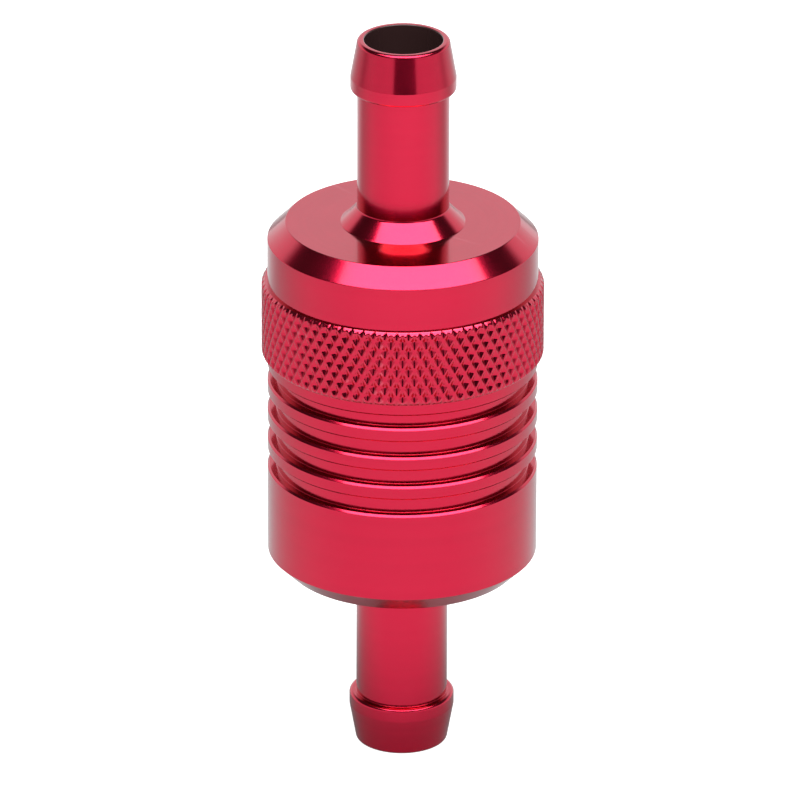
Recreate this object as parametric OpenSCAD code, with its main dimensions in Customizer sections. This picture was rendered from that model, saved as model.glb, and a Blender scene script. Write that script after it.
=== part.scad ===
// In-line fuel filter: a turned two-piece housing that unscrews, with a hose tail at
// each end, and a cleanable mesh element held on its outlet seat by a spring.
// Millimetres, +Z up the housing's axis, origin at the centre of the outlet tail's end.

/* [Hose tails] */
// Length of each hose tail, from its end to the housing's face
tail_l = 19.7; // [14:0.1:30]
// Diameter of the plain stem that the hose grips
stem_d = 9.3; // [8:0.1:12]
// Wall of the stem round the fuel passage
tail_wall = 0.7; // [0.5:0.1:1.5]
// Height of the barb's crest above the stem
barb_rise = 0.7; // [0.5:0.05:1.2]
// Length of the barb, from its end to its shoulder
barb_l = 5.3; // [4:0.1:7]
// Length of the barb's crest, with the round of its shoulder
barb_land_l = 1.4; // [0.8:0.1:2]
// Radius of the barb's shoulder
barb_round = 0.4; // [0.2:0.05:0.6]
// Height of the cone at the foot of the stem
foot_h = 1.7; // [0.5:0.1:3]
// Width of that cone, outwards from the stem
foot_w = 1.65; // [0.5:0.05:3]

/* [Outlet body] */
// Diameter of the housing
body_d = 27.4; // [25:0.1:36]
// Height from the outlet face to the lowest cooling groove
base_h = 11.1; // [9:0.05:20]
// Height of the bevel round the outlet face and the inlet face
face_bevel_h = 1.8; // [0.5:0.05:2.5]
// Width of that bevel
face_bevel_w = 1.85; // [0.5:0.05:2.5]
// Number of cooling grooves cut in the body
groove_count = 3; // [1:1:6]
// Distance from one groove to the next
groove_pitch = 3.175; // [2.5:0.025:4.5]
// Width of a groove
groove_w = 1.7; // [0.8:0.05:2]
// Depth of a groove
groove_depth = 0.9; // [0.5:0.05:1.5]
// Edge break along each groove
groove_edge = 0.2; // [0.05:0.05:0.3]
// Thickness of the body's floor above the outlet face
floor_t = 4.4; // [4:0.1:7]

/* [Inlet cap] */
// Gap left between the cap's rim and the body's shoulder
rim_gap = 1.4; // [0.5:0.05:2]
// Height of the plain rim under the knurled band
rim_h = 1.3; // [0.5:0.05:3]
// Height of the knurl's crests above the housing
knurl_proud = 0.6; // [0.3:0.05:1]
// Height of the knurled band, between its bevels
knurl_h = 7.25; // [5:0.05:14]
// Height and width of each bevel beside the knurled band
knurl_bevel = 0.35; // [0.1:0.05:0.6]
// Height of the plain band above the knurled band
band_h = 4.5; // [3.5:0.05:10]
// Thickness of the cap's roof over its chamber
roof_t = 2.6; // [2.2:0.1:4]

/* [Screw joint] */
// Wall of the cap's rim outside the thread
skirt_wall = 1.7; // [1.4:0.1:3]
// Wall of the body's neck inside the thread
neck_wall = 2; // [1.6:0.1:3]
// Pitch of the thread
thread_pitch = 1; // [0.75:0.25:1.5]
// Length of the neck's thread
thread_l = 6.4; // [4:0.1:12]
// Radial clearance between the thread's two pitch cylinders
thread_clear = 0.06; // [0.03:0.01:0.15]

/* [Seals] */
// Thickness of the cap's O-ring
cap_ring_t = 1.5; // [1.2:0.1:2]
// Thickness of the element's O-ring
element_ring_t = 1; // [0.8:0.1:1.5]
// Share of its thickness by which a fitted O-ring is squeezed
ring_squeeze = 0.18; // [0.1:0.01:0.25]

/* [Filter element] */
// Gap left for fuel between the body's wall and the end fittings
flow_gap = 1.6; // [1:0.1:2]
// Thickness of the wire mesh
mesh_t = 0.45; // [0.3:0.05:0.6]
// Wall of the perforated core
core_wall = 0.6; // [0.4:0.05:1]
// Diameter of a hole in the core
core_hole_d = 1.7; // [1:0.1:2]
// Number of holes round the core
core_holes = 10; // [6:1:12]
// Distance by which the end fittings stand proud of the mesh
end_lip = 0.7; // [0.4:0.1:1]
// Thickness of each end fitting
end_t = 1.8; // [1.4:0.1:2.5]
// Depth of the socket that holds the mesh in each end fitting
socket_depth = 0.8; // [0.5:0.1:1]
// Depth of the spring below the neck's mouth
element_sink = 3.2; // [1:0.1:6]
// Wall of the spigot between its seal groove and the fuel passage
spigot_wall = 1; // [0.7:0.1:1.5]
// Length of the spigot
spigot_l = 2.8; // [2.4:0.1:3.6]
// Radial clearance round the spigot
spigot_clear = 0.05; // [0.03:0.01:0.1]

/* [Spring] */
// Diameter of the spring's wire
wire_d = 0.9; // [0.6:0.1:1.2]
// Mean diameter of the spring
spring_d = 12; // [10.5:0.1:13]
// Number of turns in the spring
spring_turns = 5; // [3:1:7]
// Thickness of the spring's seat washer
seat_t = 0.6; // [0.4:0.1:1]

/* [Hidden] */
$fn = 96;
ARC_STEP = 15;              // degrees between the points of a turned round
EPS = 0.01;                 // overlap that makes one solid of two turned shapes
TIP_EDGE = 0.32;            // edge break round the outside of a tail's end
MOUTH_EDGE = 0.1;           // edge break round a passage's mouth

// Radii of the outside and of the fuel passage
body_r = body_d / 2;
knurl_r = body_r + knurl_proud;
knurl_foot_r = max(knurl_r - knurl_bevel, body_r + EPS);
stem_r = stem_d / 2;
barb_r = stem_r + barb_rise;
passage_r = stem_r - tail_wall;

// Heights, from the outlet tail's end upwards
outlet_face_z = tail_l;
barrel_z = outlet_face_z + face_bevel_h;
floor_z = outlet_face_z + floor_t;
groove_z = outlet_face_z + base_h;
shoulder_z = groove_z + groove_count * groove_pitch;
rim_z = shoulder_z + rim_gap;
knurl_z = rim_z + rim_h + knurl_bevel;
knurl_top_z = knurl_z + knurl_h;
band_z = knurl_top_z + knurl_bevel;
bevel_z = band_z + band_h;
inlet_face_z = bevel_z + face_bevel_h;
overall_l = inlet_face_z + tail_l;
roof_z = inlet_face_z - roof_t;

// Screw joint. The thread is drawn as its pitch cylinders, so the two halves can also
// be lifted straight apart.
thread_d = body_d - 2 * skirt_wall;
thread_depth = 0.5413 * thread_pitch;
neck_r = (thread_d - thread_depth) / 2 - thread_clear / 2;
skirt_r = neck_r + thread_clear;
land_r = body_r - groove_depth;           // plain land between the shoulder and the thread
relief_r = neck_r - thread_depth / 2 - 0.1;
relief_h = 0.8;
rim_clear = 0.1;                          // height left between the land and the rim
neck_foot_z = rim_z - rim_clear;
neck_top_z = neck_foot_z + relief_h + thread_l;
bore_r = thread_d / 2 - neck_wall;
stop_clear = 0.05;                        // gap between the neck and the cap's ceiling
ceiling_z = neck_top_z + stop_clear;
bore_edge = 0.3;                          // edge break at the mouth of a bore

// Seals, drawn squeezed
seal_clear = 0.02;                        // gap drawn where a seal bears on a moving part
gland_spare = 0.15;                       // room beside a seal for it to spread
cap_ring_r = (bore_r + relief_r) / 2;
cap_ring_h = cap_ring_t * (1 - ring_squeeze);
cap_ring_w = cap_ring_t * (1 + ring_squeeze / 2);
cap_ring_z = neck_top_z + seal_clear + cap_ring_h / 2;
gland_w = cap_ring_w + 2 * gland_spare;
gland_top_z = neck_top_z + cap_ring_h + 2 * seal_clear;
element_ring_h = element_ring_t * (1 + ring_squeeze / 2);
element_ring_w = element_ring_t * (1 - ring_squeeze);
ring_groove_r = passage_r + spigot_wall;
counterbore_r = ring_groove_r + element_ring_w + seal_clear;
counterbore_spare = 0.2;                  // depth of the counterbore below the spigot
spigot_r = counterbore_r - spigot_clear;
ring_groove_h = element_ring_h + 2 * gland_spare;
ring_groove_z = floor_z - spigot_l / 2;

// Filter element
end_r = bore_r - flow_gap;
mesh_r = end_r - end_lip;
core_r = mesh_r - mesh_t;
core_bore_r = core_r - core_wall;
element_top_z = neck_top_z - element_sink;
mesh_z = floor_z + end_t - socket_depth;
mesh_top_z = element_top_z - end_t + socket_depth;
mesh_l = mesh_top_z - mesh_z;
clear_l = mesh_l - 2 * socket_depth;
hole_pitch = core_hole_d * 1.75;
hole_rows = floor(clear_l / hole_pitch);
socket_fit = 0.02;                        // clearance of the mesh and core in their sockets

// Spring and seat
chamber_r = spring_d / 2 + wire_d / 2 + 1.6;   // room for fuel to pass round the spring
seat_clear = 0.25;                        // clearance round the seat washer
seat_z = roof_z - seal_clear - seat_t;
seat_r = chamber_r - seat_clear;
seat_hole_r = spring_d / 2 - wire_d / 2 - 1;
spring_l = seat_z - element_top_z;
boss_r = spring_d / 2 - wire_d / 2 - 0.25;
boss_h = wire_d + 0.5;
boss_edge = 0.4;
ring_sides = 10;                          // facets round the spring's wire
turn_steps = 28;                          // facets round one turn of the spring
flat_turns = 0.75;                        // closed turn at each end of the spring

// Points of a quarter round about [x, z], from angle a to angle b.
function turned_round(x, z, r, a, b) =
    [for (i = [0:90 / ARC_STEP]) let (t = a + (b - a) * i * ARC_STEP / 90)
        [x + r * cos(t), z + r * sin(t)]];

// A ring of rectangular section, from radius a to b and height z0 to z1.
module ring(a, b, z0, z1) {
    translate([0, 0, z0])
        difference() {
            cylinder(r = b, h = z1 - z0);
            translate([0, 0, -EPS]) cylinder(r = a, h = z1 - z0 + 2 * EPS);
        }
}

// A cone frustum from radius a at z0 to radius b at z1.
module frustum(a, b, z0, z1) {
    translate([0, 0, z0]) cylinder(r1 = a, r2 = b, h = z1 - z0);
}

// Outside of a hose tail, with its foot at z = 0 and its end at z = tail_l.
module tail_outside() {
    shoulder = tail_l - barb_l;
    rotate_extrude()
        polygon(concat(
            [[0, -EPS], [stem_r + foot_w + EPS, -EPS], [stem_r, foot_h], [stem_r, shoulder]],
            turned_round(barb_r - barb_round, shoulder + barb_round, barb_round, -90, 0),
            [[barb_r, shoulder + barb_land_l],
             [stem_r, tail_l - TIP_EDGE],
             [stem_r - TIP_EDGE * 0.4, tail_l - TIP_EDGE * 0.3],
             [stem_r - TIP_EDGE, tail_l],
             [0, tail_l]]));
}

// Fuel passage of a hose tail, from its mouth at tail_l down to z = -depth.
module tail_passage(depth) {
    translate([0, 0, -depth]) cylinder(r = passage_r, h = depth + tail_l + EPS);
    frustum(passage_r, passage_r + MOUTH_EDGE + EPS, tail_l - MOUTH_EDGE, tail_l + EPS);
}

// One cooling groove, with its floor at height z and both its edges broken.
module groove(z) {
    root_r = body_r - groove_depth;
    outer = body_r + 1;
    rotate_extrude()
        polygon([[root_r, z], [body_r - groove_edge, z], [body_r, z - groove_edge],
                 [outer, z - groove_edge], [outer, z + groove_w + groove_edge],
                 [body_r, z + groove_w + groove_edge], [body_r - groove_edge, z + groove_w],
                 [root_r, z + groove_w]]);
}

module outlet_body() {
    color("crimson")
        difference() {
            union() {
                translate([0, 0, outlet_face_z]) mirror([0, 0, 1]) tail_outside();
                frustum(body_r - face_bevel_w, body_r, outlet_face_z, barrel_z);
                translate([0, 0, barrel_z])
                    cylinder(r = body_r, h = shoulder_z - groove_edge - barrel_z);
                frustum(body_r, body_r - groove_edge, shoulder_z - groove_edge, shoulder_z);
                translate([0, 0, shoulder_z - EPS])
                    cylinder(r = land_r, h = neck_foot_z - shoulder_z + EPS);
                translate([0, 0, neck_foot_z - EPS])
                    cylinder(r = relief_r, h = relief_h + 2 * EPS);
                neck_thread();
            }
            for (i = [0:groove_count - 1]) groove(groove_z + i * groove_pitch);
            translate([0, 0, outlet_face_z]) mirror([0, 0, 1]) tail_passage(floor_t + EPS);
            translate([0, 0, floor_z]) cylinder(r = bore_r, h = neck_top_z);
            translate([0, 0, floor_z - spigot_l - counterbore_spare])
                cylinder(r = counterbore_r, h = spigot_l + 1);
            frustum(counterbore_r, counterbore_r + bore_edge, floor_z - bore_edge,
                    floor_z + EPS);
            frustum(bore_r, bore_r + bore_edge, neck_top_z - bore_edge, neck_top_z + EPS);
        }
}

// The neck's threaded length, with a lead-in bevel at each end.
module neck_thread() {
    lead = thread_depth;
    z = neck_foot_z + relief_h;
    frustum(neck_r - lead, neck_r, z, z + lead);
    translate([0, 0, z + lead]) cylinder(r = neck_r, h = thread_l - 2 * lead);
    frustum(neck_r, neck_r - lead, neck_top_z - lead, neck_top_z);
}

// Outside of the cap below its hose tail. The knurl's crests lie on knurl_r.
module cap_outside() {
    rotate_extrude()
        polygon([[0, rim_z], [body_r - groove_edge, rim_z],
                 [body_r, rim_z + groove_edge], [body_r, rim_z + rim_h],
                 [knurl_foot_r, rim_z + rim_h], [knurl_r, knurl_z],
                 [knurl_r, knurl_top_z], [knurl_foot_r, band_z], [body_r, band_z],
                 [body_r, bevel_z], [body_r - face_bevel_w, inlet_face_z],
                 [0, inlet_face_z]]);
}

module inlet_cap() {
    color("crimson")
        difference() {
            union() {
                cap_outside();
                translate([0, 0, inlet_face_z]) tail_outside();
            }
            translate([0, 0, rim_z - EPS]) cylinder(r = skirt_r, h = ceiling_z - rim_z + EPS);
            frustum(skirt_r + thread_depth, skirt_r, rim_z - EPS, rim_z + thread_depth);
            ring(cap_ring_r - gland_w / 2, min(cap_ring_r + gland_w / 2, skirt_r - 0.05),
                 ceiling_z - EPS, gland_top_z);
            translate([0, 0, ceiling_z - EPS])
                cylinder(r = chamber_r, h = roof_z - ceiling_z + EPS);
            translate([0, 0, inlet_face_z]) tail_passage(roof_t + EPS);
        }
}

// An O-ring squeezed to an oval section, w wide and h high, about height z.
module o_ring(r, w, h, z) {
    translate([0, 0, z])
        rotate_extrude()
            translate([r, 0])
                polygon([for (a = [0:ARC_STEP:359]) [w / 2 * cos(a), h / 2 * sin(a)]]);
}

module cap_o_ring() {
    color("dimgray") o_ring(cap_ring_r, cap_ring_w, cap_ring_h, cap_ring_z);
}

module element_o_ring() {
    color("dimgray")
        o_ring(ring_groove_r + element_ring_w / 2, element_ring_w, element_ring_h,
               ring_groove_z);
}

module spring_seat() {
    color("silver") ring(seat_hole_r, seat_r, seat_z, seat_z + seat_t);
}

// Height of the wire's centre after t turns: the end turns lie flat, the rest climb.
function coil_rise(t) =
    let (u = min(max((t - flat_turns) / (spring_turns - 2 * flat_turns), 0), 1))
        wire_d / 2 + (spring_l - wire_d) * u;

// The compression spring: one tube swept along the coil.
module element_spring() {
    steps = spring_turns * turn_steps;
    points = [for (i = [0:steps]) let (t = i / turn_steps)
        for (j = [0:ring_sides - 1]) let (a = 360 * j / ring_sides,
                                         r = spring_d / 2 + wire_d / 2 * cos(a))
            [r * cos(360 * t), r * sin(360 * t),
             element_top_z + coil_rise(t) + wire_d / 2 * sin(a)]];
    sides = [for (i = [0:steps - 1], j = [0:ring_sides - 1])
        let (k = (j + 1) % ring_sides, a = i * ring_sides, b = a + ring_sides)
            [a + j, b + j, b + k, a + k]];
    ends = [[for (j = [0:ring_sides - 1]) j],
            [for (j = [ring_sides - 1:-1:0]) steps * ring_sides + j]];
    color("lightgray") polyhedron(points = points, faces = concat(sides, ends), convexity = 10);
}

// The annular socket that holds the ends of the mesh and the core.
module element_socket(z0, z1) {
    ring(core_bore_r - socket_fit, mesh_r + socket_fit, z0, z1);
}

module element_end_cap() {
    z = element_top_z - end_t;
    color("silver")
        difference() {
            union() {
                translate([0, 0, z]) cylinder(r = end_r, h = end_t - bore_edge);
                frustum(end_r, end_r - bore_edge, element_top_z - bore_edge, element_top_z);
                translate([0, 0, element_top_z - EPS])
                    cylinder(r = boss_r, h = boss_h - boss_edge + EPS);
                frustum(boss_r, boss_r - boss_edge, element_top_z + boss_h - boss_edge,
                        element_top_z + boss_h);
            }
            element_socket(z - EPS, mesh_top_z);
        }
}

module element_outlet_collar() {
    color("silver")
        difference() {
            union() {
                translate([0, 0, floor_z]) cylinder(r = end_r, h = end_t);
                translate([0, 0, floor_z - spigot_l])
                    cylinder(r = spigot_r, h = spigot_l + EPS);
            }
            element_socket(mesh_z, floor_z + end_t + EPS);
            ring(ring_groove_r, counterbore_r + 1, ring_groove_z - ring_groove_h / 2,
                 ring_groove_z + ring_groove_h / 2);
            translate([0, 0, floor_z - spigot_l - EPS])
                cylinder(r = passage_r, h = spigot_l + end_t + 1);
        }
}

module element_mesh() {
    color("lightgray") ring(core_r, mesh_r, mesh_z, mesh_top_z);
}

// The core's holes, in rows turned by half a step from each other.
module element_core() {
    first = mesh_z + socket_depth + (clear_l - (hole_rows - 1) * hole_pitch) / 2;
    step = 360 / core_holes;
    color("silver")
        difference() {
            ring(core_bore_r, core_r - socket_fit, mesh_z, mesh_top_z);
            for (row = [0:hole_rows - 1], i = [0:core_holes - 1])
                rotate([0, 0, (i + (row % 2) / 2) * step])
                    translate([core_bore_r - 0.5, 0, first + row * hole_pitch])
                        rotate([0, 90, 0]) cylinder(d = core_hole_d, h = core_wall + 1);
        }
}

outlet_body();
inlet_cap();
cap_o_ring();
spring_seat();
element_spring();
element_end_cap();
element_mesh();
element_core();
element_outlet_collar();
element_o_ring();
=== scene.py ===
import math
import bmesh
import bpy
from mathutils import Matrix, Vector


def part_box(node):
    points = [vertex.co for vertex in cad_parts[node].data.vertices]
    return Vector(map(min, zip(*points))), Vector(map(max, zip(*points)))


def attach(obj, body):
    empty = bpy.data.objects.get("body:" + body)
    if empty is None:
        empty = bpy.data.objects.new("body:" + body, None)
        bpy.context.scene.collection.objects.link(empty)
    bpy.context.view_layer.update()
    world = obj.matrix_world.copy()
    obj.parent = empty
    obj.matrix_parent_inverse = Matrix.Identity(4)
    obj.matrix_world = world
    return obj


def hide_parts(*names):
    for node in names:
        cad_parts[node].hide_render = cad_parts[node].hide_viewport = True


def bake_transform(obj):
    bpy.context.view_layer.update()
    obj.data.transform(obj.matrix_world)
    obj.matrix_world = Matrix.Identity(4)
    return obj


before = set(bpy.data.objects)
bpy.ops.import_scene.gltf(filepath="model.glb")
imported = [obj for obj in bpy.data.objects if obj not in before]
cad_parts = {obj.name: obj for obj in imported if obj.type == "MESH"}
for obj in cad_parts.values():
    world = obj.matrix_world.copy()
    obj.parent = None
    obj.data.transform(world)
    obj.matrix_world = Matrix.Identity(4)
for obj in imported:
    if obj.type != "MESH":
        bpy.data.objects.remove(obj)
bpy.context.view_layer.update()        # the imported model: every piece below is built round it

mm = 0.001
collection = bpy.context.scene.collection
print("frame loaded:", ", ".join(sorted(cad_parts)))


def span(nodeName):
    # lowest and highest point of a node, and its radius, in millimetres
    low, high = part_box(nodeName)
    return low.z / mm, high.z / mm, high.x / mm


outletEnd, neckTop, bodyRadius = span("outlet_body")
rimHeight, inletEnd, knurlRadius = span("inlet_cap")
sealLow, sealHigh, sealRadius = span("cap_o_ring")
seatLow, seatHigh, seatRadius = span("spring_seat")
springLow, springHigh = span("element_spring")[:2]
endCapLow, endCapHigh, endCapRadius = span("element_end_cap")
collarLow, collarHigh, collarRadius = span("element_outlet_collar")
meshLow, meshHigh, meshRadius = span("element_mesh")
elementSealLow, elementSealHigh, elementSealRadius = span("element_o_ring")


# ---- shader groups shared by the materials

def shaderGroup(name, inputs, outputs):
    tree = bpy.data.node_groups.new(name, "ShaderNodeTree")
    for label, value in inputs.items():
        socket = tree.interface.new_socket(label, in_out="INPUT", socket_type="NodeSocketFloat")
        socket.default_value = value
    for label, kind in outputs.items():
        tree.interface.new_socket(label, in_out="OUTPUT", socket_type=kind)
    return tree, tree.nodes.new("NodeGroupInput"), tree.nodes.new("NodeGroupOutput")


def addNode(tree, kind, options=None, inputs=None):
    made = tree.nodes.new(kind)
    for name, value in (options or {}).items():
        setattr(made, name, value)
    for name, value in (inputs or {}).items():
        socket = made.inputs[name]
        if isinstance(value, bpy.types.NodeSocket):
            tree.links.new(value, socket)
        else:
            socket.default_value = value
    return made


def calc(tree, operation, *values):
    # one Math node, in a shader tree or a geometry tree
    made = addNode(tree, "ShaderNodeMath", {"operation": operation}, dict(enumerate(values)))
    return made.outputs[0]


def remap(tree, value, low, high, newLow, newHigh):
    made = addNode(tree, "ShaderNodeMapRange", None, {
        "Value": value, "From Min": low, "From Max": high, "To Min": newLow, "To Max": newHigh})
    return made.outputs["Result"]


noiseSpan = (0.3, 0.7)    # the values that a noise mostly keeps to


def makeTurningMarks():
    # rings left by the lathe tool: they run round the axis and change along it
    tree, given, result = shaderGroup(
        "turningMarks", {"Spacing": 0.06, "Waver": 0.35},
        {"Height": "NodeSocketFloat", "Streak": "NodeSocketFloat", "Radius": "NodeSocketFloat"})
    coords = addNode(tree, "ShaderNodeTexCoord")
    axes = addNode(tree, "ShaderNodeSeparateXYZ", None, {"Vector": coords.outputs["Object"]})
    squareX = calc(tree, "MULTIPLY", axes.outputs["X"], axes.outputs["X"])
    squareY = calc(tree, "MULTIPLY", axes.outputs["Y"], axes.outputs["Y"])
    radius = calc(tree, "SQRT", calc(tree, "ADD", squareX, squareY))
    perMetre = calc(tree, "DIVIDE", 1 / mm, given.outputs["Spacing"])
    drift = addNode(tree, "ShaderNodeTexNoise", None, {
        "Vector": coords.outputs["Object"], "Scale": 90.0, "Detail": 2.0})
    shift = calc(tree, "MULTIPLY", drift.outputs["Fac"], given.outputs["Waver"])
    across = addNode(tree, "ShaderNodeCombineXYZ", None, {
        "X": calc(tree, "ADD", calc(tree, "MULTIPLY", radius, perMetre), shift),
        "Y": calc(tree, "ADD", calc(tree, "MULTIPLY", axes.outputs["Z"], perMetre), shift)})
    rings = addNode(tree, "ShaderNodeTexNoise", {"noise_dimensions": "2D"}, {
        "Vector": across.outputs["Vector"], "Scale": 1.0, "Detail": 3.0, "Roughness": 0.6})
    broad = addNode(tree, "ShaderNodeTexNoise", {"noise_dimensions": "2D"}, {
        "Vector": across.outputs["Vector"], "Scale": 0.09, "Detail": 2.0})
    tree.links.new(rings.outputs["Fac"], result.inputs["Height"])
    tree.links.new(broad.outputs["Fac"], result.inputs["Streak"])
    tree.links.new(radius, result.inputs["Radius"])
    return tree


def makeSurfaceGrain():
    # fine etched grain and faint handling marks
    tree, given, result = shaderGroup(
        "surfaceGrain", {"Grain": 9000.0, "Blotch": 160.0},
        {"Grain": "NodeSocketFloat", "Blotch": "NodeSocketFloat"})
    coords = addNode(tree, "ShaderNodeTexCoord")
    fine = addNode(tree, "ShaderNodeTexNoise", None, {
        "Vector": coords.outputs["Object"], "Scale": given.outputs["Grain"], "Detail": 2.0})
    wide = addNode(tree, "ShaderNodeTexNoise", None, {
        "Vector": coords.outputs["Object"], "Scale": given.outputs["Blotch"], "Detail": 4.0})
    tree.links.new(fine.outputs["Fac"], result.inputs["Grain"])
    tree.links.new(wide.outputs["Fac"], result.inputs["Blotch"])
    return tree


def makeEdgeWearAndHighlight():
    # pale along outside edges: partly wear where the finish is thinnest, partly a painted highlight
    # on the edges
    tree, given, result = shaderGroup(
        "edgeWearAndHighlight", {"Start": 0.53, "Full": 0.6}, {"Edge": "NodeSocketFloat"})
    shape = addNode(tree, "ShaderNodeNewGeometry")
    edge = remap(tree, shape.outputs["Pointiness"], given.outputs["Start"],
                 given.outputs["Full"], 0.0, 1.0)
    tree.links.new(edge, result.inputs["Edge"])
    return tree


turningMarks = makeTurningMarks()
surfaceGrain = makeSurfaceGrain()
edgeWearAndHighlight = makeEdgeWearAndHighlight()


def useGroup(tree, group, **values):
    made = addNode(tree, "ShaderNodeGroup", {"node_tree": group})
    for label, value in values.items():
        made.inputs[label].default_value = value
    return made


def newMaterial(name):
    material = bpy.data.materials.new(name)
    material.use_nodes = True
    tree = material.node_tree
    return material, tree, tree.nodes["Principled BSDF"]


def mixColours(tree, factor, first, second):
    # sockets 0, 6 and 7, and output 2, are the node's factor and colours
    made = addNode(tree, "ShaderNodeMix", {"data_type": "RGBA"})
    for index, value in ((0, factor), (6, first), (7, second)):
        socket = made.inputs[index]
        if isinstance(value, bpy.types.NodeSocket):
            tree.links.new(value, socket)
        else:
            socket.default_value = value
    return made.outputs[2]


def addBumps(tree, shader, *layers):
    # each layer is a height and its depth in millimetres
    normal = None
    for height, depth in layers:
        bump = addNode(tree, "ShaderNodeBump", None, {
            "Height": height, "Strength": 1.0, "Distance": depth * mm})
        if normal:
            tree.links.new(normal, bump.inputs["Normal"])
        normal = bump.outputs["Normal"]
    tree.links.new(normal, shader.inputs["Normal"])


anodising = {
    "colour": (0.64, 0.01, 0.05, 1.0),
    "streakTone": 0.96,             # tone of the darker turning streaks
    # pale edge colour: worn finish and a painted highlight on the edges
    "paleEdgeAndHighlight": (0.78, 0.16, 0.22, 1.0),
    "wearAndHighlight": 0.35,                   # how far an outside edge goes to the pale colour, as wear and as a painted edge highlight
    "roughness": (0.15, 0.22),
    "edgeTint": (0.75, 0.65, 0.68, 1.0),
    "coat": (0.38, 1.0),            # clear coat, from face on to edge on
    "coatFacing": (0.15, 0.7),
    "coatRoughness": 0.1,
    # painted shade: a dark, dull colour inside the bore, where little light reaches
    "bore": (0.034, 0.016, 0.016, 1.0),
    "boreRadius": 4.1,
    "boreFade": 0.1,
    "turningDepth": 0.0007,
    "grainDepth": 0.0006,
}


def makeRedAnodising():
    material, tree, shader = newMaterial("redAnodising")
    marks = useGroup(tree, turningMarks, Spacing=0.07, Waver=0.3)
    grain = useGroup(tree, surfaceGrain)
    wearAndHighlight = useGroup(tree, edgeWearAndHighlight)
    deep = tuple(c * anodising["streakTone"] for c in anodising["colour"][:3]) + (1.0,)
    streak = remap(tree, marks.outputs["Streak"], *noiseSpan, 0.0, 1.0)
    tone = mixColours(tree, streak, deep, anodising["colour"])
    # outside edges turn pale: wear plus a painted highlight
    wearAndHighlightShare = calc(tree, "MULTIPLY", wearAndHighlight.outputs["Edge"], anodising["wearAndHighlight"])
    colour = mixColours(tree, wearAndHighlightShare, tone, anodising["paleEdgeAndHighlight"])
    # painted shade in the bore: dark colour and no metal inside boreRadius
    edge = anodising["boreRadius"] * mm
    inside = edge - anodising["boreFade"] * mm
    boreShadeMask = remap(tree, marks.outputs["Radius"], inside, edge, 1.0, 0.0)
    tree.links.new(mixColours(tree, boreShadeMask, colour, anodising["bore"]), shader.inputs["Base Color"])
    rough = remap(tree, grain.outputs["Blotch"], *noiseSpan, *anodising["roughness"])
    tree.links.new(rough, shader.inputs["Roughness"])
    tree.links.new(calc(tree, "SUBTRACT", 1.0, boreShadeMask), shader.inputs["Metallic"])
    shader.inputs["Coat Roughness"].default_value = anodising["coatRoughness"]
    shader.inputs["Coat IOR"].default_value = 1.5
    shader.inputs["Specular Tint"].default_value = anodising["edgeTint"]
    facing = addNode(tree, "ShaderNodeLayerWeight", None, {"Blend": 0.5})
    coat = remap(tree, facing.outputs["Facing"], *anodising["coatFacing"], *anodising["coat"])
    tree.links.new(coat, shader.inputs["Coat Weight"])
    addBumps(tree, shader, (marks.outputs["Height"], anodising["turningDepth"]),
             (grain.outputs["Grain"], anodising["grainDepth"]))
    return material


metal = {"streakTone": 0.8, "spread": 0.06, "grainDepth": 0.0008}


def makeMetal(name, colour, roughness, spacing, depth):
    material, tree, shader = newMaterial(name)
    marks = useGroup(tree, turningMarks, Spacing=spacing)
    grain = useGroup(tree, surfaceGrain)
    dark = tuple(c * metal["streakTone"] for c in colour) + (1.0,)
    tone = mixColours(tree, marks.outputs["Streak"], dark, colour + (1.0,))
    tree.links.new(tone, shader.inputs["Base Color"])
    rough = remap(tree, grain.outputs["Blotch"], *noiseSpan,
                  roughness - metal["spread"], roughness + metal["spread"])
    tree.links.new(rough, shader.inputs["Roughness"])
    shader.inputs["Metallic"].default_value = 1.0
    addBumps(tree, shader, (marks.outputs["Height"], depth),
             (grain.outputs["Grain"], metal["grainDepth"]))
    return material


rubber = {
    "black": (0.012, 0.012, 0.013, 1.0),
    "grey": (0.03, 0.03, 0.032, 1.0),
    "roughness": (0.38, 0.52),
    "grainDepth": 0.002,
}


def makeSealRubber():
    material, tree, shader = newMaterial("sealRubber")
    grain = useGroup(tree, surfaceGrain, Grain=5000.0, Blotch=300.0)
    tone = mixColours(tree, grain.outputs["Blotch"], rubber["black"], rubber["grey"])
    tree.links.new(tone, shader.inputs["Base Color"])
    rough = remap(tree, grain.outputs["Blotch"], *noiseSpan, *rubber["roughness"])
    tree.links.new(rough, shader.inputs["Roughness"])
    addBumps(tree, shader, (grain.outputs["Grain"], rubber["grainDepth"]))
    return material


redAnodising = makeRedAnodising()
clearAnodising = makeMetal("clearAnodising", (0.72, 0.72, 0.74), 0.28, 0.07, 0.0016)
stainlessSheet = makeMetal("stainlessSheet", (0.6, 0.59, 0.57), 0.3, 0.2, 0.0012)
wireSteel = makeMetal("wireSteel", (0.55, 0.54, 0.52), 0.3, 0.5, 0.0006)
springSteel = makeMetal("springSteel", (0.62, 0.62, 0.61), 0.24, 0.5, 0.0006)
sealRubber = makeSealRubber()
print("materials made")


# ---- turned pieces: an outline in (radius, height, round) corners, spun about the axis

turning = {
    "segments": 160,
    "start": 0.3,      # of a segment, which keeps points off the diagonals
    "arcStep": 22.5,
    "guard": 0.03,     # a point this far past each round keeps the flat beside it flat
    "share": 0.45,     # the most of a side that one round may take
}
mergeGap = 1e-7


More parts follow.
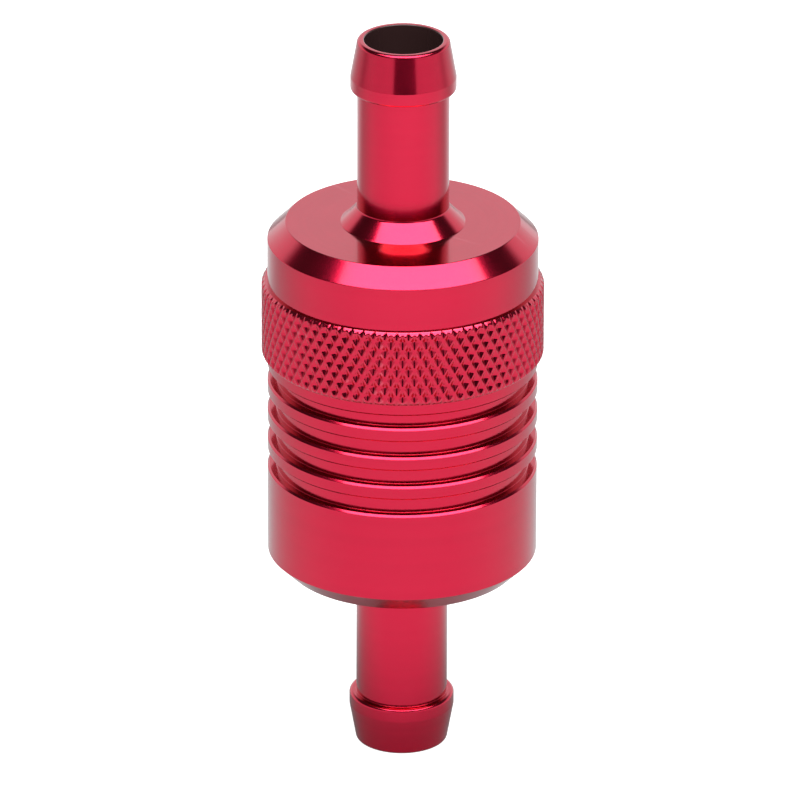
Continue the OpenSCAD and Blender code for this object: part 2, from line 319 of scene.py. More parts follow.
def roundedOutline(corners):
    points = []
    for i, (radius, height, size) in enumerate(corners):
        here = Vector((radius, height))
        before = Vector(corners[i - 1][:2]) - here
        after = Vector(corners[(i + 1) % len(corners)][:2]) - here
        if size == 0:
            points.append(here)
            continue
        half = before.angle(after) / 2
        room = turning["share"] * min(before.length, after.length)
        reach = min(size / math.tan(half), room)
        before.normalize()
        after.normalize()
        middle = here + (before + after).normalized() * (reach / math.cos(half))
        start = here + before * reach - middle
        end = here + after * reach - middle
        sweep = start.angle_signed(end)
        steps = max(2, math.ceil(math.degrees(abs(sweep)) / turning["arcStep"]))
        points.append(here + before * (reach + turning["guard"]))
        for k in range(steps + 1):
            points.append(middle + Matrix.Rotation(-sweep * k / steps, 2) @ start)
        points.append(here + after * (reach + turning["guard"]))
    return points


def finishMesh(mesh, material):
    bm = bmesh.new()
    bm.from_mesh(mesh)
    bmesh.ops.remove_doubles(bm, verts=bm.verts, dist=mergeGap)
    bmesh.ops.recalc_face_normals(bm, faces=bm.faces)
    bm.to_mesh(mesh)
    bm.free()
    mesh.shade_smooth()
    mesh.materials.clear()
    mesh.materials.append(material)


def place(name, mesh, body, slot, *nodes):
    piece = bpy.data.objects.new(name, mesh)
    collection.objects.link(piece)
    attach(piece, body)
    if nodes:
        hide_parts(*nodes)


def turnedMesh(name, corners, material):
    outline = roundedOutline(corners)
    count = len(outline)
    turns = turning["segments"]
    verts = []
    for s in range(turns):
        angle = 2 * math.pi * (s + turning["start"]) / turns
        for p in outline:
            verts.append((p.x * math.cos(angle) * mm, p.x * math.sin(angle) * mm, p.y * mm))
    faces = []
    for s in range(turns):
        a = s * count
        b = (s + 1) % turns * count
        for i in range(count):
            j = (i + 1) % count
            faces.append((a + i, b + i, b + j, a + j))
    mesh = bpy.data.meshes.new(name)
    mesh.from_pydata(verts, [], faces)
    finishMesh(mesh, material)
    return mesh


tail = {    # hose tail: heights are measured in from its end
    "stem": 4.65,
    "passage": 3.95,
    "crest": 5.35,
    "noseEnd": 3.9,
    "shoulder": 5.3,
    "length": 19.7,
    "footHeight": 1.7,
    "footWidth": 1.65,
    "rimRound": 0.34,
    "shoulderRound": 0.45,
}
housing = {
    "bevelHeight": 1.8,
    "bevelWidth": 1.85,
    "edge": 0.1,
    "grooveLow": 30.8,
    "groovePitch": 3.175,
    "grooveWidth": 1.7,
    "grooveDepth": 0.9,
    "grooves": 3,
    "shoulder": 40.325,
    "landEdge": 0.2,    # edge break beside each groove, and its own small rounds
    "landRound": 0.03,
    "chamberRadius": 10.0,
    "floor": 24.1,
    "counterboreDepth": 3.0,
    "counterboreRadius": 5.79,
}
cap = {
    "rimEnd": 43.025,
    "knurlBevel": 0.35,
    "bandStart": 50.975,
    "underKnurl": 0.15,    # depth of the stretch that the knurled band covers
    "underStart": 0.02,    # in from the band's ends, where that stretch starts
    "underFull": 0.1,      # and where it has its full depth
    "roof": 54.675,
    "ceiling": 48.875,
    "chamberRadius": 8.05,
    "glandTop": 50.1,
    "glandInner": 9.7,
    "glandOuter": 11.62,
}
thread = {
    "male": 11.95,
    "female": 12.08,
    "depth": 0.58,
    "relief": 11.33,
    "footDrop": 0.1,        # from the cap's rim down to the neck's foot
    "reliefEnd": 0.5,       # from the cap's rim up to the end of the relief
    "wallStart": 0.7,       # and to the wall that the neck's ridge stands on
    "leadIn": 0.25,         # chamfer in the cap's rim
    "leadInHeight": 0.45,
    "sunk": 0.04,           # how far a ridge's root is sunk in its wall
    "neckStart": 1.3,       # from the cap's rim up to the neck's first turn
    "neckEnd": 0.6,         # left plain below the neck's top
    "capStart": 0.8,
    "capEnd": 0.7,
    "offset": 0.5,          # the cap's ridge lies half a pitch below the neck's
}


def tailCorners(end, sign):
    # outside of a tail, from its mouth to the foot of its stem
    return [
        (tail["passage"], end, 0.12),
        (tail["stem"], end, tail["rimRound"]),
        (tail["crest"], end + sign * tail["noseEnd"], 0.12),
        (tail["crest"], end + sign * tail["shoulder"], tail["shoulderRound"]),
        (tail["stem"], end + sign * tail["shoulder"], 0.06),
        (tail["stem"], end + sign * (tail["length"] - tail["footHeight"]), 0.25),
        (tail["stem"] + tail["footWidth"], end + sign * tail["length"], 0.1),
        (bodyRadius - housing["bevelWidth"], end + sign * tail["length"], housing["edge"]),
        (bodyRadius, end + sign * (tail["length"] + housing["bevelHeight"]), housing["edge"]),
    ]


def makeOutletBody():
    corners = tailCorners(outletEnd, 1)
    root = bodyRadius - housing["grooveDepth"]
    edge, small = housing["landEdge"], housing["landRound"]
    for i in range(housing["grooves"]):
        low = housing["grooveLow"] + i * housing["groovePitch"]
        high = low + housing["grooveWidth"]
        corners += [
            (bodyRadius, low - edge, small), (bodyRadius - edge, low, small), (root, low, 0.06),
            (root, high, 0.06), (bodyRadius - edge, high, small), (bodyRadius, high + edge, small)]
    threadRoot = thread["male"] - thread["depth"]
    foot = rimHeight - thread["footDrop"]
    corners += [
        (bodyRadius, housing["shoulder"] - edge, small),
        (bodyRadius - edge, housing["shoulder"], small),
        (root, housing["shoulder"], 0.05),
        (root, foot, 0.1),
        (thread["relief"], foot, 0.05),
        (thread["relief"], rimHeight + thread["reliefEnd"], 0.05),
        (threadRoot, rimHeight + thread["wallStart"], 0.05),
        (threadRoot, neckTop, 0.25),
        (housing["chamberRadius"], neckTop, 0.25),
        (housing["chamberRadius"], housing["floor"], 0.2),
        (housing["counterboreRadius"], housing["floor"], 0.25),
        (housing["counterboreRadius"], housing["floor"] - housing["counterboreDepth"], 0.1),
        (tail["passage"], housing["floor"] - housing["counterboreDepth"], 0.1),
    ]
    mesh = turnedMesh("outletBody", corners, redAnodising)
    place("outletBody", mesh, "housing", "red_anodising", "outlet_body")


def makeInletCap():
    under = bodyRadius - cap["underKnurl"]
    bandLow, bandHigh = cap["rimEnd"], cap["bandStart"]
    corners = tailCorners(inletEnd, -1) + [
        (bodyRadius, bandHigh - cap["underStart"], 0.04),
        (under, bandHigh - cap["underFull"], 0.04),
        (under, bandLow + cap["underFull"], 0.04),
        (bodyRadius, bandLow + cap["underStart"], 0.04),
        (bodyRadius, rimHeight + housing["landEdge"], housing["landRound"]),
        (bodyRadius - housing["landEdge"], rimHeight, housing["landRound"]),
        (thread["female"] + thread["leadIn"], rimHeight, 0.05),
        (thread["female"], rimHeight + thread["leadInHeight"], 0.05),
        (thread["female"], cap["ceiling"], 0.05),
        (cap["glandOuter"], cap["ceiling"], 0.05),
        (cap["glandOuter"], cap["glandTop"], 0.1),
        (cap["glandInner"], cap["glandTop"], 0.1),
        (cap["glandInner"], cap["ceiling"], 0.05),
        (cap["chamberRadius"], cap["ceiling"], 0.15),
        (cap["chamberRadius"], cap["roof"], 0.3),
        (tail["passage"], cap["roof"], 0.15),
    ]
    mesh = turnedMesh("inletCap", corners, redAnodising)
    place("inletCap", mesh, "cap", "red_anodising", "inlet_cap")


def ovalCorners(inner, outer, low, high, points=28):
    # section of a squeezed O-ring
    across, up = (outer - inner) / 2, (high - low) / 2
    return [(inner + across + across * math.cos(2 * math.pi * k / points),
             low + up + up * math.sin(2 * math.pi * k / points), 0) for k in range(points)]


seal = {"capMean": 10.663, "elementWidth": 0.82}
elementSealInner = elementSealRadius - seal["elementWidth"]


def makeSeals():
    capInner = 2 * seal["capMean"] - sealRadius
    section = ovalCorners(capInner, sealRadius, sealLow, sealHigh)
    mesh = turnedMesh("capSeal", section, sealRubber)
    place("capSeal", mesh, "seal", "seal_rubber", "cap_o_ring")
    section = ovalCorners(elementSealInner, elementSealRadius, elementSealLow, elementSealHigh)
    mesh = turnedMesh("elementSeal", section, sealRubber)
    place("elementSeal", mesh, "element", "seal_rubber", "element_o_ring")


washer = {"holeRadius": 4.55, "edge": 0.12}


def makeSpringSeat():
    hole, edge = washer["holeRadius"], washer["edge"]
    mesh = turnedMesh("springSeat", [
        (hole, seatLow, edge), (seatRadius, seatLow, edge),
        (seatRadius, seatHigh, edge), (hole, seatHigh, edge)], stainlessSheet)
    place("springSeat", mesh, "seat", "stainless_sheet", "spring_seat")


element = {
    "socketDepth": 0.8,
    "socketClear": 0.02,
    "endThickness": 1.8,
    "bossRadius": 5.3,
    "dimpleRadius": 2.2,    # shallow turned dimple in the boss
    "dimpleFloor": 1.9,
    "dimpleDepth": 0.35,
    "coreBore": 6.63,
    "grooveHalf": 0.695,
    "spigotRadius": 5.74,
}


def makeElementEnds():
    under = endCapLow
    rim = under + element["endThickness"]
    sleeve = meshRadius + element["socketClear"]
    dimple = endCapHigh - element["dimpleDepth"]
    socket = under + element["socketDepth"]
    mesh = turnedMesh("elementEndCap", [
        (0, under, 0), (element["coreBore"], under, 0.1), (element["coreBore"], socket, 0.05),
        (sleeve, socket, 0.05), (sleeve, under, 0.1), (endCapRadius, under, 0.12),
        (endCapRadius, rim, 0.25), (element["bossRadius"], rim, 0.15),
        (element["bossRadius"], endCapHigh, 0.35), (element["dimpleRadius"], endCapHigh, 0.1),
        (element["dimpleFloor"], dimple, 0.1), (0, dimple, 0)], clearAnodising)
    place("elementEndCap", mesh, "element", "clear_anodising", "element_end_cap")

    top = collarHigh
    base = top - element["endThickness"]
    socket = top - element["socketDepth"]
    middle = (elementSealLow + elementSealHigh) / 2
    spigot = element["spigotRadius"]
    grooveLow, grooveHigh = middle - element["grooveHalf"], middle + element["grooveHalf"]
    mesh = turnedMesh("elementCollar", [
        (tail["passage"], collarLow, 0.15), (spigot, collarLow, 0.2),
        (spigot, grooveLow, 0.05), (elementSealInner, grooveLow, 0.08),
        (elementSealInner, grooveHigh, 0.08), (spigot, grooveHigh, 0.05),
        (spigot, base, 0.05), (collarRadius, base, 0.15), (collarRadius, top, 0.15),
        (sleeve, top, 0.1), (sleeve, socket, 0.05), (element["coreBore"], socket, 0.05),
        (element["coreBore"], top, 0.1), (tail["passage"], top, 0.2)], clearAnodising)
    place("elementCollar", mesh, "element", "clear_anodising", "element_outlet_collar")


makeOutletBody()
makeInletCap()
makeSeals()
makeSpringSeat()
makeElementEnds()
print("turned pieces made")


# ---- Geometry Nodes: knurl, threads, spring and wire mesh

def geometryTree(name, sizes):
    tree = bpy.data.node_groups.new(name, "GeometryNodeTree")
    tree.is_modifier = True
    for label, value in sizes.items():
        kind = "NodeSocketInt" if isinstance(value, int) else "NodeSocketFloat"
        socket = tree.interface.new_socket(label, in_out="INPUT", socket_type=kind)
        socket.default_value = value
    tree.interface.new_socket("Material", in_out="INPUT", socket_type="NodeSocketMaterial")
    tree.interface.new_socket("Geometry", in_out="OUTPUT", socket_type="NodeSocketGeometry")
    return tree, tree.nodes.new("NodeGroupInput").outputs, tree.nodes.new("NodeGroupOutput")


def endTree(tree, given, result, geometry):
    real = addNode(tree, "GeometryNodeRealizeInstances", None, {"Geometry": geometry})
    painted = addNode(tree, "GeometryNodeSetMaterial", None, {
        "Geometry": real.outputs["Geometry"], "Material": given["Material"]})
    tree.links.new(painted.outputs["Geometry"], result.inputs["Geometry"])


def growMesh(name, tree, values, material):
    # runs the tree on an empty mesh and keeps the result as a plain mesh
    holder = bpy.data.objects.new(name + "Holder", bpy.data.meshes.new(name + "Start"))
    collection.objects.link(holder)
    modifier = holder.modifiers.new("nodes", "NODES")
    modifier.node_group = tree
    for item in tree.interface.items_tree:
        if item.in_out == "INPUT" and item.name in values:
            modifier[item.identifier] = values[item.name]
        elif item.in_out == "INPUT" and item.name == "Material":
            modifier[item.identifier] = material
    bpy.context.view_layer.update()
    graph = bpy.context.evaluated_depsgraph_get()
    mesh = bpy.data.meshes.new_from_object(holder.evaluated_get(graph))
    mesh.name = name
    bpy.data.objects.remove(holder)
    finishMesh(mesh, material)
    return mesh


def gridPlaces(tree, columns, rows):
    # a grid's columns and rows as numbers from 0, and the grid itself
    grid = addNode(tree, "GeometryNodeMeshGrid", None, {
        "Size X": 1.0, "Size Y": 1.0,
        "Vertices X": calc(tree, "ADD", columns, 1.0), "Vertices Y": calc(tree, "ADD", rows, 1.0)})
    axes = addNode(tree, "ShaderNodeSeparateXYZ", None, {
        "Vector": addNode(tree, "GeometryNodeInputPosition").outputs["Position"]})
    column = calc(tree, "MULTIPLY", calc(tree, "ADD", axes.outputs["X"], 0.5), columns)
    row = calc(tree, "MULTIPLY", calc(tree, "ADD", axes.outputs["Y"], 0.5), rows)
    return grid.outputs["Mesh"], calc(tree, "ROUND", column), calc(tree, "ROUND", row)


def wrapRound(tree, mesh, turns, radius, height):
    # sets each point at a number of turns, a radius and a height, in millimetres
    angle = calc(tree, "MULTIPLY", turns, 2 * math.pi)
    spot = addNode(tree, "ShaderNodeCombineXYZ", None, {
        "X": calc(tree, "MULTIPLY", calc(tree, "MULTIPLY", radius, mm), calc(tree, "COSINE", angle)),
        "Y": calc(tree, "MULTIPLY", calc(tree, "MULTIPLY", radius, mm), calc(tree, "SINE", angle)),
        "Z": calc(tree, "MULTIPLY", height, mm)})
    moved = addNode(tree, "GeometryNodeSetPosition", None, {
        "Geometry": mesh, "Position": spot.outputs["Vector"]})
    merged = addNode(tree, "GeometryNodeMergeByDistance", None, {
        "Geometry": moved.outputs["Geometry"], "Distance": 2 * mergeGap})
    return merged.outputs["Geometry"]


def ramp(tree, value):
    # a triangle wave: 1 at each whole number, 0 half-way between
    part = calc(tree, "FRACT", value)
    return calc(tree, "ABSOLUTE", calc(tree, "SUBTRACT", calc(tree, "MULTIPLY", part, 2.0), 1.0))


knurl = {
    "Around": 76,
    "Pitch": 2.0,
    "Depth": 0.4,
    "Gain": 1.08,    # widens the crests a little and leaves them flat
    "Low": cap["rimEnd"],
    "High": cap["bandStart"],
    "Bevel": cap["knurlBevel"],
    "Radius": knurlRadius,
    "Wall": bodyRadius,
    "Sunk": 0.5,     # how far the band's back lies inside the wall
    "Fine columns": 10,
    "Rows": 60,
}


def makeKnurl():
    # row 0 and the last two rows lie inside the wall, and the last one closes the band on row 0
    tree, given, result = geometryTree("diamondKnurl", knurl)
    columns = calc(tree, "MULTIPLY", given["Around"], given["Fine columns"])
    lastRow = calc(tree, "ADD", given["Rows"], 3.0)
    mesh, column, row = gridPlaces(tree, columns, lastRow)
    turn = calc(tree, "DIVIDE", column, columns)
    share = calc(tree, "DIVIDE", calc(tree, "SUBTRACT", row, 1.0), given["Rows"])
    closing = calc(tree, "GREATER_THAN", row, calc(tree, "ADD", given["Rows"], 2.5))
    share = calc(tree, "MAXIMUM", share, 0.0)
    share = calc(tree, "MINIMUM", share, calc(tree, "SUBTRACT", 1.0, closing))
    tall = calc(tree, "SUBTRACT", given["High"], given["Low"])
    rise = calc(tree, "MULTIPLY", share, tall)
    height = calc(tree, "ADD", rise, given["Low"])
    around = calc(tree, "MULTIPLY", turn, given["Around"])
    climb = calc(tree, "DIVIDE", rise, given["Pitch"])
    leftHand = ramp(tree, calc(tree, "ADD", around, climb))
    rightHand = ramp(tree, calc(tree, "SUBTRACT", around, climb))
    crest = calc(tree, "MAXIMUM", leftHand, rightHand)
    crest = calc(tree, "MINIMUM", calc(tree, "MULTIPLY", crest, given["Gain"]), 1.0)
    cut = calc(tree, "MULTIPLY", calc(tree, "SUBTRACT", 1.0, crest), given["Depth"])
    rough = calc(tree, "SUBTRACT", given["Radius"], cut)
    toEnd = calc(tree, "MINIMUM", rise, calc(tree, "SUBTRACT", tall, rise))
    bevel = calc(tree, "ADD", calc(tree, "SUBTRACT", given["Radius"], given["Bevel"]), toEnd)
    outside = calc(tree, "MINIMUM", rough, bevel)
    hidden = calc(tree, "MAXIMUM", calc(tree, "LESS_THAN", row, 0.5),
                  calc(tree, "GREATER_THAN", row, calc(tree, "ADD", given["Rows"], 1.5)))
    inner = calc(tree, "SUBTRACT", given["Wall"], given["Sunk"])
    drop = calc(tree, "MULTIPLY", hidden, calc(tree, "SUBTRACT", outside, inner))
    radius = calc(tree, "SUBTRACT", outside, drop)
    endTree(tree, given, result, wrapRound(tree, mesh, turn, radius, height))
    mesh = growMesh("knurledBand", tree, knurl, redAnodising)
    for side in mesh.edges:    # the ledge at each end stays flat
        ends = [mesh.vertices[i].co for i in side.vertices]
        side.use_edge_sharp = all(
            min(abs(p.z - knurl["Low"] * mm), abs(p.z - knurl["High"] * mm)) < 1e-6 for p in ends)
    place("knurledBand", mesh, "cap", "red_anodising")


def makeThreads():
    # a ridge that climbs one pitch a turn and fades out over its first and last quarter turn:
    # rows 0 to 3 are its corners, from the lower root round the crest, and row 4 closes it
    quarters = 4.0
    sizes = {"Root": 11.0, "Height": 0.5, "Turns": 6.0, "Pitch": 1.0, "Start": 0.0, "Steps": 96}
    tree, given, result = geometryTree("screwThread", sizes)
    columns = calc(tree, "MULTIPLY", given["Turns"], given["Steps"])
    mesh, column, row = gridPlaces(tree, columns, 4.0)
    turn = calc(tree, "DIVIDE", column, given["Steps"])
    toEnd = calc(tree, "MINIMUM", turn, calc(tree, "SUBTRACT", given["Turns"], turn))
    fade = calc(tree, "MINIMUM", calc(tree, "MULTIPLY", toEnd, quarters), 1.0)
    onCrest = calc(tree, "MULTIPLY", calc(tree, "GREATER_THAN", row, 0.5),
                   calc(tree, "LESS_THAN", row, 2.5))
    radius = calc(tree, "ADD", given["Root"],
                  calc(tree, "MULTIPLY", calc(tree, "MULTIPLY", given["Height"], onCrest), fade))
    corner = calc(tree, "MODULO", row, 4.0)
    upper = calc(tree, "GREATER_THAN", corner, 1.5)
    side = calc(tree, "SUBTRACT", calc(tree, "MULTIPLY", upper, 2.0), 1.0)
    rootHalf, taken = 0.44, 0.36    # half the root's width in pitches, and what the crest takes off
    width = calc(tree, "SUBTRACT", rootHalf, calc(tree, "MULTIPLY", onCrest, taken))
    faded = calc(tree, "MULTIPLY", fade, given["Pitch"])
    offset = calc(tree, "MULTIPLY", calc(tree, "MULTIPLY", side, width), faded)
    climb = calc(tree, "ADD", given["Start"], calc(tree, "MULTIPLY", turn, given["Pitch"]))
    height = calc(tree, "ADD", climb, offset)
    endTree(tree, given, result, wrapRound(tree, mesh, turn, radius, height))
    neckFoot = rimHeight + thread["neckStart"]
    neckRise = neckTop - thread["neckEnd"] - neckFoot
    male = {"Root": thread["male"] - thread["depth"] - thread["sunk"],
            "Height": thread["depth"] + thread["sunk"] / 2,
            "Turns": math.floor(neckRise * quarters) / quarters, "Start": neckFoot}
    mesh = growMesh("neckThread", tree, male, redAnodising)
    place("neckThread", mesh, "housing", "red_anodising")
    capRise = cap["ceiling"] - thread["capEnd"] - rimHeight - thread["capStart"]
    female = {"Root": thread["female"] + thread["sunk"], "Height": -thread["depth"],
              "Turns": math.floor(capRise * quarters) / quarters,
              "Start": neckFoot - thread["offset"]}
    mesh = growMesh("capThread", tree, female, redAnodising)
    place("capThread", mesh, "cap", "red_anodising")


def makeSpring():
    sizes = {"Wire": 0.9, "Mean radius": 6.0, "Turns": 5.0,
             "Low": springLow, "High": springHigh, "Steps": 60}
    tree, given, result = geometryTree("compressionSpring", sizes)
    line = addNode(tree, "GeometryNodeCurvePrimitiveLine", None, {"End": (1.0, 0.0, 0.0)})
    count = calc(tree, "ADD", calc(tree, "MULTIPLY", given["Turns"], given["Steps"]), 1.0)
    path = addNode(tree, "GeometryNodeResampleCurve", None, {
        "Curve": line.outputs["Curve"], "Count": count})
    along = addNode(tree, "GeometryNodeSplineParameter").outputs["Factor"]
    turn = calc(tree, "MULTIPLY", along, given["Turns"])
    flat = 0.75    # turns closed flat at each end
    climb = calc(tree, "DIVIDE", calc(tree, "SUBTRACT", turn, flat),
                 calc(tree, "SUBTRACT", given["Turns"], 2 * flat))
    climb = calc(tree, "MINIMUM", calc(tree, "MAXIMUM", climb, 0.0), 1.0)
    tall = calc(tree, "SUBTRACT", calc(tree, "SUBTRACT", given["High"], given["Low"]), given["Wire"])
    half = calc(tree, "MULTIPLY", given["Wire"], 0.5)
    lowest = calc(tree, "ADD", given["Low"], half)
    height = calc(tree, "ADD", lowest, calc(tree, "MULTIPLY", climb, tall))
    angle = calc(tree, "MULTIPLY", turn, 2 * math.pi)
    mean = calc(tree, "MULTIPLY", given["Mean radius"], mm)
    spot = addNode(tree, "ShaderNodeCombineXYZ", None, {
        "X": calc(tree, "MULTIPLY", mean, calc(tree, "COSINE", angle)),
        "Y": calc(tree, "MULTIPLY", mean, calc(tree, "SINE", angle)),
        "Z": calc(tree, "MULTIPLY", height, mm)})
    coil = addNode(tree, "GeometryNodeSetPosition", None, {
        "Geometry": path.outputs["Curve"], "Position": spot.outputs["Vector"]})
    section = addNode(tree, "GeometryNodeCurvePrimitiveCircle", None, {
        "Resolution": 14, "Radius": calc(tree, "MULTIPLY", half, mm)})
    wire = addNode(tree, "GeometryNodeCurveToMesh", None, {
        "Curve": coil.outputs["Geometry"], "Profile Curve": section.outputs["Curve"],
        "Fill Caps": True})
    endTree(tree, given, result, wire.outputs["Mesh"])
    mesh = growMesh("elementSpring", tree, {}, springSteel)
    spring = bpy.data.objects.new("elementSpring", mesh)
    collection.objects.link(spring)
    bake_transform(spring)
    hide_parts("element_spring")


def makeWireMesh():
    # plain weave: uprights and rings pass over and under each other
    inset, short = 0.24, 0.05    # in from the sleeve's outside, and from its ends
    sizes = {"Radius": meshRadius - inset, "Wire": 0.2, "Uprights": 84, "Rings": 34,
             "Low": meshLow + short, "High": meshHigh - short, "Steps": 4}
    tree, given, result = geometryTree("wovenSleeve", sizes)
    tall = calc(tree, "SUBTRACT", given["High"], given["Low"])
    ringGap = calc(tree, "DIVIDE", tall, given["Rings"])
    half = calc(tree, "MULTIPLY", given["Wire"], 0.5)
    section = addNode(tree, "GeometryNodeCurvePrimitiveCircle", None, {
        "Resolution": 4, "Radius": calc(tree, "MULTIPLY", half, mm)})
    index = addNode(tree, "GeometryNodeInputIndex").outputs["Index"]

    def sweep(curve, x, y, z):
        spot = addNode(tree, "ShaderNodeCombineXYZ", None, {
            "X": calc(tree, "MULTIPLY", x, mm), "Y": calc(tree, "MULTIPLY", y, mm),
            "Z": calc(tree, "MULTIPLY", z, mm)})
        bent = addNode(tree, "GeometryNodeSetPosition", None, {
            "Geometry": curve, "Position": spot.outputs["Vector"]})
        wire = addNode(tree, "GeometryNodeCurveToMesh", None, {
            "Curve": bent.outputs["Geometry"], "Profile Curve": section.outputs["Curve"],
            "Fill Caps": True})
        return wire.outputs["Mesh"]

    def repeat(shape, count, turnStep, riseStep):
        points = addNode(tree, "GeometryNodeMeshLine", None, {
            "Count": count, "Offset": (0.0, 0.0, 0.0)})
        rise = addNode(tree, "ShaderNodeCombineXYZ", None, {
            "Z": calc(tree, "MULTIPLY", index, calc(tree, "MULTIPLY", riseStep, mm))})
        raised = addNode(tree, "GeometryNodeSetPosition", None, {
            "Geometry": points.outputs["Mesh"], "Position": rise.outputs["Vector"]})
        turned = addNode(tree, "ShaderNodeCombineXYZ", None, {
            "Z": calc(tree, "MULTIPLY", index, turnStep)})
        copies = addNode(tree, "GeometryNodeInstanceOnPoints", None, {
            "Points": raised.outputs["Geometry"], "Instance": shape,
            "Rotation": turned.outputs["Vector"]})
        return copies.outputs["Instances"]

    both = addNode(tree, "GeometryNodeJoinGeometry")
    for parity in (0, 1):
        sign = 1.0 - 2.0 * parity
        # upright
        line = addNode(tree, "GeometryNodeCurvePrimitiveLine", None, {"End": (1.0, 0.0, 0.0)})
        count = calc(tree, "ADD", calc(tree, "MULTIPLY", given["Rings"], given["Steps"]), 1.0)
        path = addNode(tree, "GeometryNodeResampleCurve", None, {
            "Curve": line.outputs["Curve"], "Count": count})
        crossing = calc(tree, "DIVIDE", index, given["Steps"])
        wave = calc(tree, "COSINE", calc(tree, "MULTIPLY", crossing, math.pi))
        swing = calc(tree, "MULTIPLY", calc(tree, "MULTIPLY", wave, half), sign)
        radius = calc(tree, "ADD", given["Radius"], swing)
        height = calc(tree, "ADD", given["Low"], calc(tree, "MULTIPLY", crossing, ringGap))
        turn = calc(tree, "DIVIDE", 2 * math.pi, given["Uprights"])
        start = calc(tree, "MULTIPLY", turn, float(parity))
        acrossX = calc(tree, "MULTIPLY", radius, calc(tree, "COSINE", start))
        acrossY = calc(tree, "MULTIPLY", radius, calc(tree, "SINE", start))
        upright = sweep(path.outputs["Curve"], acrossX, acrossY, height)
        pairs = calc(tree, "MULTIPLY", given["Uprights"], 0.5)
        uprights = repeat(upright, pairs, calc(tree, "MULTIPLY", turn, 2.0), 0.0)
        tree.links.new(uprights, both.inputs["Geometry"])
        # ring
        circle = addNode(tree, "GeometryNodeCurvePrimitiveCircle", None, {
            "Resolution": calc(tree, "MULTIPLY", given["Uprights"], given["Steps"]), "Radius": 1.0})
        crossing = calc(tree, "DIVIDE", index, given["Steps"])
        wave = calc(tree, "COSINE", calc(tree, "MULTIPLY", crossing, math.pi))
        swing = calc(tree, "MULTIPLY", calc(tree, "MULTIPLY", wave, half), sign)
        radius = calc(tree, "SUBTRACT", given["Radius"], swing)
        angle = calc(tree, "MULTIPLY", crossing, turn)
        height = calc(tree, "ADD", given["Low"], calc(tree, "MULTIPLY", ringGap, float(parity)))
        acrossX = calc(tree, "MULTIPLY", radius, calc(tree, "COSINE", angle))
        acrossY = calc(tree, "MULTIPLY", radius, calc(tree, "SINE", angle))
        ring = sweep(circle.outputs["Curve"], acrossX, acrossY, height)
        pairs = calc(tree, "MULTIPLY", given["Rings"], 0.5)
        rings = repeat(ring, pairs, 0.0, calc(tree, "MULTIPLY", ringGap, 2.0))
        tree.links.new(rings, both.inputs["Geometry"])
    endTree(tree, given, result, both.outputs["Geometry"])
    mesh = growMesh("elementMesh", tree, {}, wireSteel)
    place("elementMesh", mesh, "element", "wire_mesh", "element_mesh")


def paintCore():
    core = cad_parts["element_core"]
    core.data.materials.clear()
    core.data.materials.append(stainlessSheet)


makeKnurl()
makeThreads()
makeSpring()
makeWireMesh()
paintCore()
print("knurl, threads, spring and wire mesh made")


# ---- studio: floor, light and camera

camera = {"lens": 495.0, "distance": 1116.5, "rise": 23.6, "lean": 0.17, "aim": (-0.25, 0.0, 37.57)}
studio = {
    "floorSize": 1.3,
    "floorTone": 0.6,
    "rearTone": 0.45,     # behind the object, where the floor gets less light
    "rearFade": (-0.02, 0.08),
    "farTone": 0.25,      # added farther back, where the backdrop lights the floor
    "farFade": (0.09, 0.15),
    "paintedShadowTone": 0.62,    # painted shadow: share of the tone left close round the object
    "paintedShadowFade": (0.008, 0.035),
    "floorFill": 0.95,    # added where the floor is seen directly, for a clean pale ground
    "ceiling": 0.05,      # above the backdrop
    "backdrop": 1.0,      # behind the object, up to the backdrop's top edge
    "sides": 0.85,        # beside and in front of it
    "turn": (0.1, 0.6),   # where the one turns to the other, as Y of the unit direction
    "sidesTop": 0.14,     # where each fades out, as a height of the unit direction
    "backdropTop": 0.44,
    "fade": 0.14,
    "overhead": {"spot": (0.08, -0.34, 0.62), "size": (0.95, 0.74), "glow": 5.5,
                 "aim": (0.08, -0.34, 0.0)},
    "frontCard": {"left": -0.46, "right": 0.62, "low": -0.4, "high": 1.4, "away": 1.2},
}


def makeFloor():
    half = studio["floorSize"] / 2
    mesh = bpy.data.meshes.new("floor")
    corners = [(-half, -half, 0), (half, -half, 0), (half, half, 0), (-half, half, 0)]
    mesh.from_pydata(corners, [], [(0, 1, 2, 3)])
    material, tree, shader = newMaterial("paleFloor")
    coords = addNode(tree, "ShaderNodeTexCoord")
    axes = addNode(tree, "ShaderNodeSeparateXYZ", None, {"Vector": coords.outputs["Object"]})
    length = addNode(tree, "ShaderNodeVectorMath", {"operation": "LENGTH"}, {
        0: coords.outputs["Object"]})
    tone = remap(tree, axes.outputs["Y"], *studio["rearFade"],
                 studio["floorTone"], studio["rearTone"])
    far = remap(tree, axes.outputs["Y"], *studio["farFade"], 0.0, studio["farTone"])
    tone = calc(tree, "ADD", tone, far)
    # painted shadow on the floor close round the object
    under = remap(tree, length.outputs["Value"], *studio["paintedShadowFade"], studio["paintedShadowTone"], 1.0)
    tree.links.new(calc(tree, "MULTIPLY", tone, under), shader.inputs["Base Color"])
    shader.inputs["Roughness"].default_value = 0.9
    shader.inputs["Specular IOR Level"].default_value = 0.0
    shader.inputs["Emission Color"].default_value = (1.0, 1.0, 1.0, 1.0)
    path = addNode(tree, "ShaderNodeLightPath")
    fill = calc(tree, "MULTIPLY", path.outputs["Is Camera Ray"], studio["floorFill"])
    tree.links.new(fill, shader.inputs["Emission Strength"])
    mesh.materials.append(material)
    floor = bpy.data.objects.new("floor", mesh)
    collection.objects.link(floor)


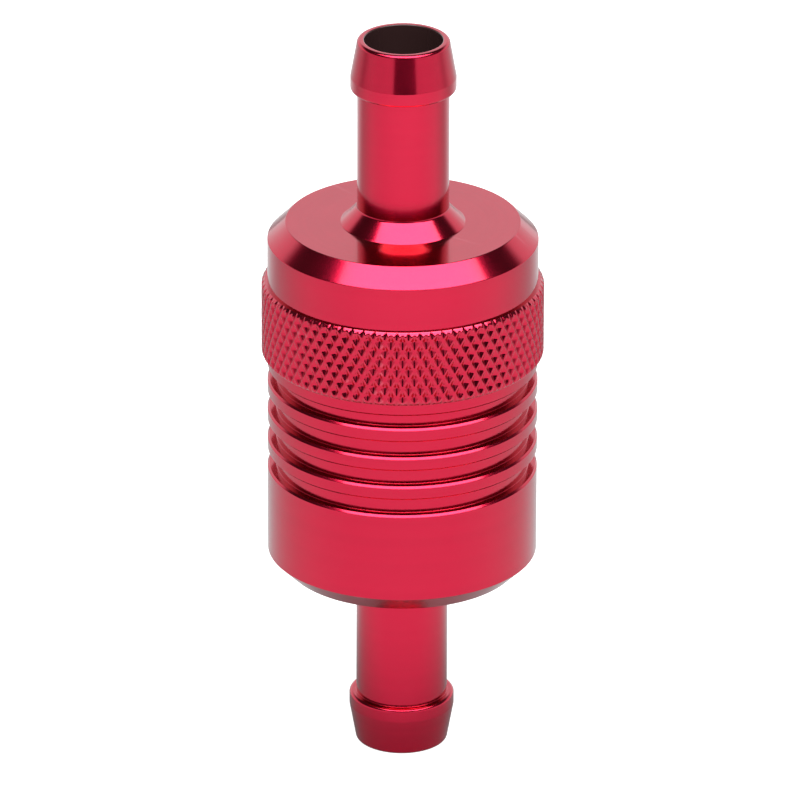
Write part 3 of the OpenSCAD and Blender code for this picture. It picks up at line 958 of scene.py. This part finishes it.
def makeSky():
    # a pale backdrop round the horizon under a dark ceiling
    world = bpy.data.worlds.new("studioSky")
    bpy.context.scene.world = world
    world.use_nodes = True
    tree = world.node_tree
    way = addNode(tree, "ShaderNodeTexCoord")
    axes = addNode(tree, "ShaderNodeSeparateXYZ", None, {"Vector": way.outputs["Generated"]})
    toward = axes.outputs["Y"]
    ring = remap(tree, toward, *studio["turn"], studio["sides"], studio["backdrop"])
    edge = remap(tree, toward, *studio["turn"], studio["sidesTop"], studio["backdropTop"])
    above = calc(tree, "SUBTRACT", axes.outputs["Z"], edge)
    rise = remap(tree, above, 0.0, studio["fade"], 0.0, 1.0)
    over = calc(tree, "MULTIPLY", rise, studio["ceiling"])
    glow = calc(tree, "ADD", over, calc(tree, "MULTIPLY", ring, calc(tree, "SUBTRACT", 1.0, rise)))
    shade = tree.nodes["Background"]
    shade.inputs["Color"].default_value = (1.0, 1.0, 1.0, 1.0)
    tree.links.new(glow, shade.inputs["Strength"])


def makeFrontCard():
    # a dark card behind the camera, which gives the dark line down an upright curve
    size = studio["frontCard"]
    away = -size["away"]
    mesh = bpy.data.meshes.new("frontCard")
    mesh.from_pydata([(size["left"], away, size["low"]), (size["right"], away, size["low"]),
                      (size["right"], away, size["high"]), (size["left"], away, size["high"])],
                     [], [(3, 2, 1, 0)])
    material, tree, shader = newMaterial("darkCard")
    shader.inputs["Base Color"].default_value = (0.02, 0.02, 0.02, 1.0)
    shader.inputs["Roughness"].default_value = 1.0
    mesh.materials.append(material)
    card = bpy.data.objects.new("frontCard", mesh)
    collection.objects.link(card)


def makeSoftbox(name, spot, size, glow, aim):
    # glow is the brightness of the panel's face
    light = bpy.data.lights.new(name, "AREA")
    light.shape = "RECTANGLE"
    light.size, light.size_y = size
    light.energy = glow * math.pi * size[0] * size[1]
    holder = bpy.data.objects.new(name, light)
    holder.location = spot
    holder.rotation_euler = (Vector(aim) - holder.location).to_track_quat("-Z", "Y").to_euler()
    collection.objects.link(holder)


def makeCamera():
    lens = bpy.data.cameras.new("camera")
    lens.lens = camera["lens"]
    lens.sensor_width = 36.0
    lens.clip_start = 0.01
    lens.clip_end = 20.0
    holder = bpy.data.objects.new("camera", lens)
    rise = math.radians(camera["rise"])
    aim = Vector(camera["aim"]) * mm
    away = Vector((0, -math.cos(rise), math.sin(rise)))
    holder.location = aim + away * camera["distance"] * mm
    turn = (-away).to_track_quat("-Z", "Y").to_matrix()
    lean = Matrix.Rotation(math.radians(camera["lean"]), 3, "Z")
    holder.rotation_euler = (turn @ lean).to_euler()
    collection.objects.link(holder)
    bpy.context.scene.camera = holder


makeFloor()
makeSky()
makeFrontCard()
makeSoftbox("overhead", **studio["overhead"])
makeCamera()
bpy.context.scene.view_settings.view_transform = "Standard"
print("studio made")
